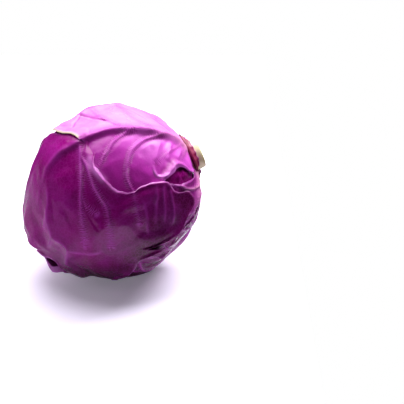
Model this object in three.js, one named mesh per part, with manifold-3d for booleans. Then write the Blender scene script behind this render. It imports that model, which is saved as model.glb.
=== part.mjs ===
// A red cabbage head lying on its side: a tight heart, the stem with its core, loose leaves and leaf stubs.
// It is drawn with its stem along +Z and laid down by the group at the end.
// Sizes are millimetres. A place on the head is an azimuth round the stem (0 is the upper side as it lies,
// 90 the front) and a lean away from the stem end (0 is the stem, 180 the crown), both in degrees.
import * as THREE from 'three';
import { mergeVertices } from 'three/addons/utils/BufferGeometryUtils.js';
import Module from 'manifold-3d';

// Driving dimensions
const HEART_RADIUS = 74;
const CROWN_RISE = 9;
const CROWN_EDGE = 155;
const STEM_DIP = 2;
const DIP_FLOOR = 5;
const DIP_EDGE = 30;
const BLADE = 1;
const GAP = 0.75;
const RIB_HEIGHT = 6;
const RIB_HALF_WIDTH = 3.6;
const RIB_FOOT_WIDTH = 8;
const RIB_FOOT_LENGTH = 22;
const RIB_THIN_SHARE = 0.35;
const RIB_THIN_LENGTH = 45;
const RIB_FADE = 30;
const VEIN_HEIGHT = 1.4;
const VEIN_HALF_WIDTH = 3;
const STEM_RADIUS = 15;
const STEM_END = 86;
const STEM_LENGTH = 26;
const STEM_EDGE = 2;
const CORE_TIP_RADIUS = 5;
const CORE_TIP = 4;
const CORE_DEPTH = 75;
const SOCKET_GAP = 0.5;
const STUB_WALL = 3;
const STUB_FOOT = 80;
const STUB_HEIGHT = 4;
const FLAT_EDGE = 2;
const REST_HEIGHT = 75.6;
const STEM_TILT = 20;
const STEM_TURN = 16.5;

// How a leaf lies over the edge of the one beneath it
const SHOULDER = 9;
const DRAPE = 16;
const LIP_WIDTH = 7;
const SWAP_WIDTH = 6;
const PRESS = 7;

// How finely round forms are divided
const OUTLINE_STEPS = 720;
const STEM_SIDES = 28;
const STUB_STEPS = 14;
const HEART_DETAIL = 6;

// A leaf's midrib runs down one azimuth from the stem. Veins leave it at the leans listed, on the side of
// rising azimuth and on the other, and bend towards the vein line until they run straight round the stem.
const RIB_START = 12;
const VEIN_LINE = 118;
const VEIN_SWEEP = 0.66;
const VEIN_BEND = 13;
const VEIN_FADE = [40, 100];
const STEEPEST_VEIN = 0.2;
const VEINS_RISING = [10, 50, 96];
const VEINS_FALLING = [28, 62, 92];

// Sides of the head that are flat rather than round, by the depth of the plane: underneath where it rests, the
// far upper side, two planes wide, and low down in front of the stem.
const FLATS = [
  { azimuth: 180, lean: 90 + STEM_TILT, depth: 72.4 },
  { azimuth: 332, lean: 102, depth: 70.5 },
  { azimuth: 324, lean: 132, depth: 69.5 },
  { azimuth: 149, lean: 70, depth: 71.8 },
];

// Each blade is drawn about a centre. Reaches run round it in equal steps from the crown side through rising
// azimuth, in degrees of arc, and lifts say how far the margin stands up there, in millimetres.
const BLADES = [
  {
    leaf: 'inner_leaf', rib: 118, ribEnd: 60, centre: [118, 66], cells: 16,
    reach: [58, 54, 48, 46, 46, 50, 53, 42, 38, 39, 46, 54],
    lift: [0, 0, 0, 0, 0, 0, 0, 1, 1.5, 1, 0, 0],
  },
  {
    leaf: 'back_leaf', rib: 232, ribEnd: 140, centre: [232, 84], cells: 20,
    reach: [84, 74, 58, 50, 50, 54, 70, 54, 60, 74, 72, 76],
    lift: [1, 1, 0.5, 0.5, 0.5, 0, 0, 0, 0, 0, 0, 0.5],
  },
  {
    leaf: 'under_leaf', rib: 172, ribEnd: 140, centre: [172, 88], cells: 20,
    reach: [69, 62, 56, 52, 52, 58, 74, 58, 58, 68, 66, 66],
    lift: [9, 2, 1, 1.5, 1, 0, 0, 0, 0, 0, 0, 5],
  },
  {
    leaf: 'rear_leaf', rib: 294, ribEnd: 140, centre: [294, 80], cells: 18,
    reach: [84, 80, 68, 54, 48, 50, 66, 54, 50, 48, 54, 72],
    lift: [1, 0.5, 0, 0, 0, 0, 0, 0.5, 1, 1.5, 1.5, 1],
  },
  {
    leaf: 'wrapper_leaf', rib: 24, ribEnd: 140, centre: [92, 120], cells: 30, notched: true,
    reach: [62, 47, 42, 44, 50, 49, 46, 41, 36, 36, 55, 78, 76, 66, 51, 41, 45, 58, 82, 92, 90, 85, 80, 74],
    lift: [1, 0.5, 0.5, 0.5, 0.5, 0.5, 1, 1, 1.5, 2, 2, 1.5,
      1.5, 2, 2.5, 2.5, 2.5, 1, 0, 0, 1, 1.5, 1.5, 1],
  },
  {
    leaf: 'wrapper_leaf', rib: 24, ribEnd: 110, centre: [24, 55], cells: 28,
    reach: [41, 42, 47, 53, 56, 54, 44, 38, 37, 40, 47, 44, 42, 41, 42, 44, 48, 53, 58, 62, 64, 63, 57, 45],
    lift: [0, 0, 0, 0, 0, 0, 1, 2, 2.5, 2.5, 1, 0, 0, 0, 0, 1, 1, 1, 1, 1, 0.5, 0, 0.5, 0.5],
  },
];
const HEART_COLOUR = 0x5a1a50;
const STEM_COLOUR = 0xe8dcae;
const STUB_COLOUR = 0x6b2a3e;
const LEAF_COLOURS = {
  inner_leaf: 0x4a1040,
  back_leaf: 0x6e1f66,
  under_leaf: 0x5c1a56,
  rear_leaf: 0x7c2974,
  wrapper_leaf: 0x8a2482,
};
const STUBS = [
  { middle: 55, span: 110 },
  { middle: 185, span: 90 },
  { middle: 300, span: 70 },
];

const WAXY = 0.35;
const MATTE = 0.6;

const rad = THREE.MathUtils.degToRad;
const deg = THREE.MathUtils.radToDeg;
const { smoothstep } = THREE.MathUtils;
const DOWN = new THREE.Vector3(-Math.cos(rad(STEM_TILT)), 0, -Math.sin(rad(STEM_TILT)));

const wasm = await Module();
wasm.setup();

function direction(azimuth, lean) {
  const [a, l] = [rad(azimuth), rad(lean)];
  return new THREE.Vector3(Math.sin(l) * Math.cos(a), Math.sin(l) * Math.sin(a), Math.cos(l));
}

function leanOf(u) {
  return deg(Math.acos(THREE.MathUtils.clamp(u.z, -1, 1)));
}

// Degrees round the stem from the rib, between -180 and 180
function offRib(u, rib) {
  return THREE.MathUtils.euclideanModulo(deg(Math.atan2(u.y, u.x)) - rib + 180, 360) - 180;
}

// A smooth closed curve through values given at equal steps round a turn
function roundTurn(values, bearing) {
  const n = values.length;
  const place = (THREE.MathUtils.euclideanModulo(bearing, 360) / 360) * n;
  const i = Math.floor(place);
  const f = place - i;
  const [a, b, c, d] = [-1, 0, 1, 2].map((step) => values[(i + step + n) % n]);
  return b + 0.5 * f * (c - a + f * (2 * a - 5 * b + 4 * c - d + f * (3 * (b - c) + d - a)));
}

// The smaller of two lengths, with a rounded change from one to the other
function softMinimum(a, b) {
  const share = THREE.MathUtils.clamp(0.5 + (b - a) / (2 * FLAT_EDGE), 0, 1);
  return THREE.MathUtils.lerp(b, a, share) - FLAT_EDGE * share * (1 - share);
}

// The head's own form under the loose leaves: longer to the crown, dipped at the stem, flat on some sides
function ballRadius(u) {
  const lean = leanOf(u);
  const crown = CROWN_RISE * smoothstep(lean, CROWN_EDGE, 180);
  const dip = STEM_DIP * (1 - smoothstep(lean, DIP_FLOOR, DIP_EDGE));
  return FLATS.reduce((radius, flat) => {
    const facing = u.dot(direction(flat.azimuth, flat.lean));
    return facing > 0.5 ? softMinimum(radius, flat.depth / facing) : radius;
  }, HEART_RADIUS + crown - dip);
}

function pointAt(u, height) {
  const point = u.clone().multiplyScalar(ballRadius(u) + height);
  const below = point.dot(DOWN) - REST_HEIGHT;
  return below > 0 ? point.addScaledVector(DOWN, -below) : point;
}

// Bearing and distance of a direction from a blade's centre, and the way back
function bladeFrame(blade) {
  const [azimuth, lean] = blade.centre;
  return {
    middle: direction(azimuth, lean),
    crownward: direction(azimuth, lean + 90),
    rising: direction(azimuth + 90, 90),
  };
}

function onBlade(blade, u) {
  const { middle, crownward, rising } = blade.frame;
  return {
    away: deg(Math.acos(THREE.MathUtils.clamp(u.dot(middle), -1, 1))),
    bearing: deg(Math.atan2(u.dot(rising), u.dot(crownward))),
  };
}

// Bearings that divide a blade's outline into equal lengths, so that its grid follows a steep margin evenly
function evenBearings(blade) {
  const outline = [...Array(OUTLINE_STEPS + 1).keys()].map((i) => {
    const bearing = (360 * i) / OUTLINE_STEPS;
    const reach = roundTurn(blade.reach, bearing);
    return { bearing, x: reach * Math.sin(rad(bearing)), y: reach * Math.cos(rad(bearing)) };
  });
  let length = 0;
  outline.forEach((point, i) => {
    const last = outline[Math.max(0, i - 1)];
    length += Math.hypot(point.x - last.x, point.y - last.y);
    point.length = length;
  });
  return (turn) => {
    const wanted = (THREE.MathUtils.euclideanModulo(turn, 360) / 360) * length;
    const i = Math.max(1, outline.findIndex((point) => point.length >= wanted));
    const [a, b] = [outline[i - 1], outline[i]];
    return THREE.MathUtils.mapLinear(wanted, a.length, b.length, a.bearing, b.bearing);
  };
}

function bladeDirection(blade, x, y) {
  const across = x * Math.sqrt(1 - (y * y) / 2);
  const along = y * Math.sqrt(1 - (x * x) / 2);
  const turn = deg(Math.atan2(across, -along));
  const bearing = rad(blade.evenly ? blade.evenly(turn) : turn);
  const away = rad(Math.hypot(across, along) * roundTurn(blade.reach, deg(bearing)));
  const { middle, crownward, rising } = blade.frame;
  return middle.clone().multiplyScalar(Math.cos(away))
    .addScaledVector(crownward, Math.sin(away) * Math.cos(bearing))
    .addScaledVector(rising, Math.sin(away) * Math.sin(bearing));
}

// How far past a blade's margin a direction lies, in millimetres, negative on the blade
function pastMargin(blade, u) {
  const { away, bearing } = onBlade(blade, u);
  return (away - roundTurn(blade.reach, bearing)) * rad(HEART_RADIUS);
}

// Ribs and veins stand up only where no later leaf presses on them
function exposed(blade, u) {
  const later = BLADES.slice(BLADES.indexOf(blade) + 1).filter((other) => other.leaf !== blade.leaf);
  return later.reduce((share, other) => share * smoothstep(pastMargin(other, u), -PRESS, PRESS), 1);
}

// Height of the midrib and its veins over the blade
function relief(blade, u) {
  const share = exposed(blade, u);
  if (share === 0) {
    return 0;
  }
  const lean = leanOf(u);
  const off = offRib(u, blade.rib);
  const arc = rad(HEART_RADIUS);
  const round = Math.sin(rad(lean));
  const ribWidth = RIB_HALF_WIDTH + RIB_FOOT_WIDTH * Math.exp((RIB_START - lean) / RIB_FOOT_LENGTH);
  const nearFoot = Math.exp((RIB_START - lean) / RIB_THIN_LENGTH);
  const ribThinning = THREE.MathUtils.lerp(RIB_THIN_SHARE, 1, nearFoot);
  const ribFade = 1 - smoothstep(lean, blade.ribEnd - RIB_FADE, blade.ribEnd);
  let height = RIB_HEIGHT * ribThinning * ribFade * Math.exp(-(((off * round * arc) / ribWidth) ** 2));
  for (const start of off > 0 ? VEINS_RISING : VEINS_FALLING) {
    const sweep = VEIN_SWEEP * (VEIN_LINE - start);
    const turn = Math.exp(-Math.abs(off) / VEIN_BEND);
    const slope = (sweep * turn) / VEIN_BEND / Math.max(round, STEEPEST_VEIN);
    const apart = ((lean - start - sweep * (1 - turn)) * arc) / Math.hypot(1, slope);
    const taper = 1 - smoothstep(Math.abs(off), ...VEIN_FADE);
    height += VEIN_HEIGHT * taper * Math.exp(-((apart / VEIN_HALF_WIDTH) ** 2));
  }
  return height * share;
}

function marginLift(blade, u) {
  const inside = Math.max(0, -pastMargin(blade, u));
  return roundTurn(blade.lift, onBlade(blade, u).bearing) * Math.exp(-((inside / LIP_WIDTH) ** 2));
}

// How much of a blade's thickness is felt by one over it: all of it to past the margin, then draping down
function cover(blade, u) {
  return 1 - smoothstep(pastMargin(blade, u), SHOULDER, SHOULDER + DRAPE);
}

// The wrapper's crown part lies over its stem part in front of the midrib, and under it behind
function inFrontOfRib(blade, u) {
  const across = offRib(u, blade.rib) * Math.sin(rad(leanOf(u))) * rad(HEART_RADIUS);
  return smoothstep(across, -SWAP_WIDTH, SWAP_WIDTH);
}

function heightUnder(blade, u) {
  const order = BLADES.indexOf(blade);
  let height = 0;
  BLADES.forEach((other, i) => {
    if (other === blade) {
      return;
    }
    if (other.leaf === blade.leaf) {
      const front = inFrontOfRib(blade, u);
      height += cover(other, u) * (GAP + BLADE) * (i < order ? 1 - front : front);
    } else if (i < order) {
      height += cover(other, u) * (GAP + BLADE + relief(other, u) + marginLift(other, u));
    }
  });
  return height;
}

// A blade as a closed sheet: the same grid outside and inside, joined round the margin
function bladeGeometry(blade) {
  const n = blade.cells;
  const sheet = new THREE.PlaneGeometry(2, 2, n, n);
  const flat = sheet.getAttribute('position');
  const faces = [...sheet.index.array];
  const outside = [];
  const inside = [];
  for (let i = 0; i < flat.count; i += 1) {
    const u = bladeDirection(blade, flat.getX(i), flat.getY(i));
    const bottom = heightUnder(blade, u) + GAP + marginLift(blade, u);
    inside.push(...pointAt(u, bottom));
    outside.push(...pointAt(u, bottom + BLADE + relief(blade, u)));
  }
  const steps = [...Array(n).keys()];
  const rim = [
    ...steps.map((i) => n * (n + 1) + i),
    ...steps.map((i) => (n - i) * (n + 1) + n),
    ...steps.map((i) => n - i),
    ...steps.map((i) => i * (n + 1)),
  ];
  const triangles = [...faces];
  for (let i = 0; i < faces.length; i += 3) {
    triangles.push(flat.count + faces[i], flat.count + faces[i + 2], flat.count + faces[i + 1]);
  }
  rim.forEach((a, i) => {
    const b = rim[(i + 1) % rim.length];
    triangles.push(b, a, flat.count + a, b, flat.count + a, flat.count + b);
  });
  const geometry = new THREE.BufferGeometry();
  geometry.setAttribute('position', new THREE.Float32BufferAttribute([...outside, ...inside], 3));
  geometry.setIndex(triangles);
  return geometry;
}

function toSolid(geometry) {
  const bare = geometry.clone();
  bare.deleteAttribute('normal');
  bare.deleteAttribute('uv');
  const merged = mergeVertices(bare);
  const vertProperties = new Float32Array(merged.getAttribute('position').array);
  const triVerts = new Uint32Array(merged.index.array);
  return new wasm.Manifold(new wasm.Mesh({ numProp: 3, vertProperties, triVerts }));
}

function toGeometry(solid) {
  const { vertProperties, triVerts } = solid.getMesh();
  const geometry = new THREE.BufferGeometry();
  geometry.setAttribute('position', new THREE.BufferAttribute(vertProperties, 3));
  geometry.setIndex(new THREE.BufferAttribute(triVerts, 1));
  return geometry;
}

// The stem and core turned round the head's axis, larger by a clearance for the socket that holds it
function stemGeometry(clearance) {
  const profile = [
    [0, STEM_END - CORE_DEPTH - CORE_TIP - clearance],
    [CORE_TIP_RADIUS + clearance, STEM_END - CORE_DEPTH - clearance],
    [STEM_RADIUS + clearance, STEM_END - STEM_LENGTH],
    [STEM_RADIUS + clearance, STEM_END - STEM_EDGE],
    [STEM_RADIUS + clearance - STEM_EDGE, STEM_END],
    [0, STEM_END],
  ];
  const geometry = new THREE.LatheGeometry(profile.map(([r, z]) => new THREE.Vector2(r, z)), STEM_SIDES);
  return geometry.rotateX(Math.PI / 2);
}

function heartGeometry() {
  const ball = new THREE.IcosahedronGeometry(1, HEART_DETAIL);
  const position = ball.getAttribute('position');
  const u = new THREE.Vector3();
  for (let i = 0; i < position.count; i += 1) {
    u.fromBufferAttribute(position, i).normalize();
    position.setXYZ(i, ...u.clone().multiplyScalar(ballRadius(u) - GAP));
  }
  return toGeometry(toSolid(ball).subtract(toSolid(stemGeometry(SOCKET_GAP))));
}

function stubGeometry({ middle, span }) {
  const inner = STEM_RADIUS + SOCKET_GAP;
  const [from, to] = [rad(middle - span / 2), rad(middle + span / 2)];
  const arc = new THREE.Shape();
  arc.absarc(0, 0, inner + STUB_WALL, from, to, false);
  arc.absarc(0, 0, inner, to, from, true);
  const form = { depth: STUB_HEIGHT, bevelEnabled: false, curveSegments: STUB_STEPS };
  return new THREE.ExtrudeGeometry(arc, form).translate(0, 0, STUB_FOOT);
}

function piece(name, geometry, color, roughness) {
  const mesh = new THREE.Mesh(geometry, new THREE.MeshStandardMaterial({ color, roughness, metalness: 0 }));
  mesh.name = name;
  return mesh;
}

const head = new THREE.Group();
for (const blade of BLADES) {
  blade.frame = bladeFrame(blade);
  blade.evenly = blade.notched && evenBearings(blade);
}
head.add(piece('heart', heartGeometry(), HEART_COLOUR, WAXY));
head.add(piece('stem', stemGeometry(0), STEM_COLOUR, MATTE));
for (const [name, colour] of Object.entries(LEAF_COLOURS)) {
  const blades = BLADES.filter((blade) => blade.leaf === name).map((blade) => bladeGeometry(blade));
  const solids = blades.map((blade) => toSolid(blade));
  head.add(piece(name, toGeometry(solids.reduce((whole, part) => whole.add(part))), colour, WAXY));
}
STUBS.forEach((stub, i) => {
  head.add(piece(`leaf_stub_${i + 1}`, stubGeometry(stub), STUB_COLOUR, MATTE));
});

// Laid on its side: the upper side, the front and the stem of the drawing turned to where they lie
const stemAxis = direction(STEM_TURN, 90 - STEM_TILT);
const upperSide = direction(STEM_TURN + 180, STEM_TILT);
const frontSide = stemAxis.clone().cross(upperSide);
head.setRotationFromMatrix(new THREE.Matrix4().makeBasis(upperSide, frontSide, stemAxis));
head.position.set(0, 0, REST_HEIGHT);

const cabbage = new THREE.Group();
cabbage.add(head);
export default cabbage;
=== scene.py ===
"""Dresses a packed red cabbage head: ribbed leaves with waxy bloom, the heart, the stem and the leaf stubs.

Lengths are metres. A place on the head is an azimuth round the stem (0 is the upper side as it lies, 90 the
front) and a lean away from the stem end (0 is the stem, 180 the crown), both in degrees.
"""

import math

import bmesh
import bpy
import numpy as np
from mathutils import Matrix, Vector, noise


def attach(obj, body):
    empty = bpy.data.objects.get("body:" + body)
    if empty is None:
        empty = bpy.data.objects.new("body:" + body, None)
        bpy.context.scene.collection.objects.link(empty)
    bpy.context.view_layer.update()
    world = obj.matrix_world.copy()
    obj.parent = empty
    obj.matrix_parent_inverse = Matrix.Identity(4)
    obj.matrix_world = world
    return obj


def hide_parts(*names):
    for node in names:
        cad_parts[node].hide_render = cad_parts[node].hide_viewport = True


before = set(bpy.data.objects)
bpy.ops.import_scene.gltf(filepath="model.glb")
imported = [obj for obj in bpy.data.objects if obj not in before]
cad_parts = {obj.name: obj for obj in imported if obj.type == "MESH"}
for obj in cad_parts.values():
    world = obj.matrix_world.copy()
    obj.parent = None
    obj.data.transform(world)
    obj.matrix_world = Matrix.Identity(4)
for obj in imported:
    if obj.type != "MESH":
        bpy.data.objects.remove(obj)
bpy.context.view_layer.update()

bl_info = {
    "name": "Red cabbage head",
    "version": (1, 0, 0),
    "blender": (4, 5, 0),
    "location": "3D View > Sidebar > Cabbage",
    "description": "Builds the leaves, heart, stem and leaf stubs of a red cabbage head, and its stage",
    "category": "Mesh",
}

MM = 0.001
BODY = "root"

# The head's form, as in the part's source
HEART_RADIUS = 74 * MM
CROWN_RISE = 9 * MM
CROWN_EDGE = 155
STEM_DIP = 2 * MM
DIP_FLOOR = 5
DIP_EDGE = 30
FLAT_EDGE = 2 * MM
REST_HEIGHT = 75.6 * MM
STEM_TILT = 20
STEM_TURN = 16.5
STEM_RADIUS = 15 * MM
STEM_END = 86 * MM
STEM_LENGTH = 26 * MM
CORE_DEPTH = 75 * MM
CORE_TIP_RADIUS = 5 * MM
ARC = math.radians(1) * HEART_RADIUS

# Grain of the stem's skin: its depth, and how fine it is
STEM_GRAIN = 0.5 * MM
STEM_GRAINS = 140

# Sides of the head that are flat: azimuth, lean and the depth of the plane
FLATS = (
    (180, 90 + STEM_TILT, 72.4 * MM),
    (332, 102, 68.8 * MM),
    (324, 132, 67.8 * MM),
    (149, 68, 69.2 * MM),
)

# Edges between broad facets of the head: rise and half width in millimetres, and places along the edge
FACET_EDGES = (
    (1.2, 10, ((25, 104), (25, 110.5), (26, 118), (28, 124), (33.6, 130), (42.4, 134.3), (51.4, 139.7),
               (62, 144), (72, 147))),
    (1.6, 12, ((58, 143), (70, 146), (84.7, 148.3), (96, 153), (110, 160), (126, 163))),
    (1.5, 10, ((82, 149), (88, 142.5), (96.5, 138.1), (108, 141), (118, 144), (135, 146))),
    (1.1, 10, ((95, 139.5), (99.2, 134.4), (101.5, 129.3), (101.2, 121), (100, 110))),
    (0.8, 16, ((60, 112), (76, 118), (88, 128), (96, 142))),
    (4.5, 22, ((150, 179), (144, 172), (142, 165), (145, 156), (147, 147), (149, 138), (150, 128))),
    (1.3, 10, ((10, 69), (354, 66), (342, 63), (330, 61))),
    (1.5, 10, ((14, 42), (5, 40), (350, 38), (335, 36))),
    (-1.8, 14, ((14, 87), (2, 90), (352, 93), (340, 96), (330, 98))),
)

# Least share of a direction that faces a flat side, and the part of a facet's edge that fades at each end
LEAST_FACING = 0.5
FACET_FADE = 0.15

# Noise over the head: how fine it is and its seed, and where and how strongly it shows
DENTS = (2.2, 3.1)
DENT_CELLS = (2.4, 5.3)
DENT_CELL_SHARE = 0.6
DENT_LEANS = (15, 40)
BLISTERS = (9, 7.7)
BLISTER_AWAY = (1 * MM, 7 * MM)
UNEVEN_EDGE = (16, 2.9)
EDGE_MEAN = 0.7
EDGE_SWING = 0.6
BUNCHED_CELLS = (11, 4.1)
CELL_MIDDLE = 0.6

# How a leaf lies over the edge of the one beneath it
GAP = 0.6 * MM
SHOULDER = 1.5 * MM
DRAPE = 9 * MM
LIP_WIDTH = 4 * MM
ROLL = 0.6 * MM
ROLL_BY_LIFT = 0.45
ROLL_OVER = 0.45
SINK_WIDTH = 8 * MM
SWAP_WIDTH = 5 * MM
PRESS = 4 * MM

# A blade's outline: its steps, the degrees over which a stretch of margin blends in, and how the grid crowds
OUTLINE_STEPS = 720
TRIM_OUTSIDE = 2
TRIM_INSIDE = 1
CROWDING = 0.8

# Midribs run from the stem down one azimuth, and veins leave them on both sides
RIB_START = 12
RIB_HALF_WIDTH = 2.4 * MM
RIB_FOOT_WIDTH = 6 * MM
RIB_FOOT_LENGTH = 22
RIB_THIN_SHARE = 0.4
RIB_THIN_LENGTH = 45
RIB_FADE = 30
RIB_LOW_SHARE = 0.3
RIB_RISING = (14, 54)
VEIN_HALF_WIDTH = 1.1 * MM
VEIN_SWEEP = 24
VEIN_BEND = 20
VEIN_SLANT = 0.12
VEIN_WAVER = 2.0
VEIN_WAVES = 9
VEIN_PHASE = 23
VEIN_REACH = 72
VEIN_POINTS = 8
VEIN_THINNING = 0.7
VEIN_THINS = (0.3, 1)
VEIN_ROOT = (0, 0.08)
VEIN_TIP = (0.97, 1)
VEIN_LEAST_WIDTH = 0.6
VEIN_PRESSED = 0.4
VALLEY_PLACE = 2.6
VALLEY_WIDTH = 1.6
VALLEY_DEPTH = 0.4
VALLEY_TIP = (0.9, 1)
VEINS_RISING = (12, 34, 57, 81, 104)
VEINS_FALLING = (22, 46, 69, 93, 116)
FORK_START = 30
FORK_SPREAD = 0.55
FORK_STRENGTH = 0.45

# The wrapper leaf's midrib, by azimuth and lean along it, and the width of the rise behind it
WRAPPER_RIB = ((40, 12), (35.2, 28), (33.9, 38), (32.7, 46), (31, 54), (29.3, 61), (27.5, 69), (25.8, 78),
               (24.8, 88), (24.6, 97), (23.6, 110), (24, 120), (26, 128), (30, 138))
WRAPPER_RIB_RISE = 17 * MM

# Veins of the wrapper leaf, by their strength and places along them
WRAPPER_VEINS = (
    (1.0, ((35, 40), (36.6, 50), (38, 58), (41.5, 65.8), (44.7, 70.7), (49.2, 74.8), (53.5, 78.1),
           (57.4, 80.3), (62.3, 81.6), (69.5, 81.4), (75.3, 83), (81.2, 84), (89.7, 85))),
    (0.8, ((29.5, 63), (30.9, 70.4), (32.6, 75.1), (35.5, 80.3), (39.2, 84.4), (41.2, 88), (44.6, 91.5),
           (48, 96))),
    (0.95, ((25, 97), (28.2, 99.1), (37, 102.8), (46, 106.5), (51.8, 108.9), (60.2, 113.3), (74.8, 118.9),
            (84.5, 121.5), (94.8, 124.2))),
    (0.9, ((34, 101), (42.9, 100.6), (49.5, 101.5), (54.8, 102), (60.3, 101.8), (65.1, 101.4), (71.6, 100.4),
           (81.1, 102.7), (89.6, 105.4), (98.6, 108))),
    (0.4, ((55, 110.5), (62.9, 112), (67.8, 110.7), (72.4, 108.1))),
    (0.3, ((40, 22), (46, 30), (51, 40), (55, 50), (59, 58))),
    (0.3, ((48, 18), (57, 26), (63, 34), (67, 43))),
    (0.35, ((31, 52), (20, 58), (8, 61), (354, 63), (340, 63), (326, 62))),
    (0.35, ((27, 70), (17, 76), (6, 79), (354, 81), (342, 82), (330, 81))),
    (0.35, ((34, 34), (22, 40), (8, 43), (350, 44), (330, 43))),
)

# How sharp a fold is, the width of the line along it, painted shade along a sunken fold and a painted
# highlight along a raised one, and the part of it that fades at each end
FOLD_SHARPNESS = 1.5
FOLD_LINE = 0.4
FOLD_FADE = 0.2

# Rumpled leaf in the gap beside the stem: rise and half width in millimetres, and places along each fold
HEART_FOLDS = (
    (1.4, 3.6, ((74, 53), (76, 47), (78.5, 41), (82, 35), (88, 29))),
    (1.5, 2.6, ((71, 46), (76, 44), (84, 45))),
    (1.5, 2.6, ((72, 37), (79, 37), (87, 39))),
)

# Packed leaves that show on the heart as ribs: their number, sway in degrees, rise and pale crests
HEART_RIBS = 5
HEART_RIB_SWAY = 90
HEART_RIB_RISE = 0.3 * MM
HEART_VEIN_SHARE = 0.3
HEART_VEIN_CRESTS = (0.8, 1)

# Folds pressed into the leaves: rise and half width in millimetres, and places along the fold
FOLDS = {
    "wrapper_leaf": (
        (-0.4, 2.5, ((32.4, 127.2), (44.6, 131.8), (56, 135.9), (70.5, 141.8))),
        (-0.5, 2, ((61, 126), (64.4, 126.7), (68.9, 127.9), (76, 129))),
        (-0.4, 2.5, ((72, 113.4), (76.3, 112.5), (81.9, 111.4), (92, 109))),
        (0.8, 2.6, ((72, 61.5), (84.4, 65.2), (92.1, 67.8), (101, 71.5))),
        (0.8, 2.6, ((78, 58), (89.9, 59.8), (98.2, 62.5), (107, 67))),
        (0.7, 2.6, ((70, 66), (81.3, 70.2), (89.5, 73.8), (98, 77))),
        (0.6, 2.6, ((76, 78), (84, 79), (93, 81.5), (101, 84))),
        (0.9, 4, ((48, 139), (62, 144.2), (69.9, 146), (83.7, 148.4), (97.6, 154.4), (114, 160))),
        (0.9, 4, ((82, 149), (87.9, 142.5), (96.5, 138.1), (108, 141), (117.8, 144.2), (133, 146))),
        (0.8, 3.5, ((95, 140), (99.2, 134.4), (101.5, 129.3), (101.2, 121.1), (100, 112))),
        (0.6, 3.5, ((34, 131), (46, 136), (56, 142), (64, 148), (76, 156))),
        (1, 4.5, ((40, 46), (49.1, 52.5), (58, 59))),
        (1, 4.5, ((43, 37), (51.9, 43.4), (61, 50))),
        (1, 4.5, ((46, 25), (56, 32.6), (64, 40))),
        (-1.3, 1.8, ((348, 92), (355, 88), (3.6, 84.2), (8.6, 82.1), (13.5, 78.9), (20, 74))),
        (-1.1, 2, ((350, 88), (356.4, 92.6), (359, 95.1), (2.7, 96.4), (9, 99))),
        (-0.6, 1.6, ((350, 62), (0, 58), (12, 53), (22, 50))),
        (1.1, 2, ((59, 60.5), (61.5, 62), (64.5, 62.5), (67.4, 62), (69.4, 59.8), (70, 56.6), (69.8, 51.9))),
    ),
    "under_leaf": (
        (1.2, 3, ((115, 92), (118.9, 85), (120.2, 80.9), (122.1, 75), (121, 66))),
        (1.5, 3, ((122, 94), (126.1, 86.4), (128, 80.7), (128, 72))),
        (1.3, 2.5, ((110, 87), (119.5, 85.2), (130, 81))),
        (1.3, 3, ((132, 94), (135, 86), (137, 76))),
    ),
}

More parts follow.
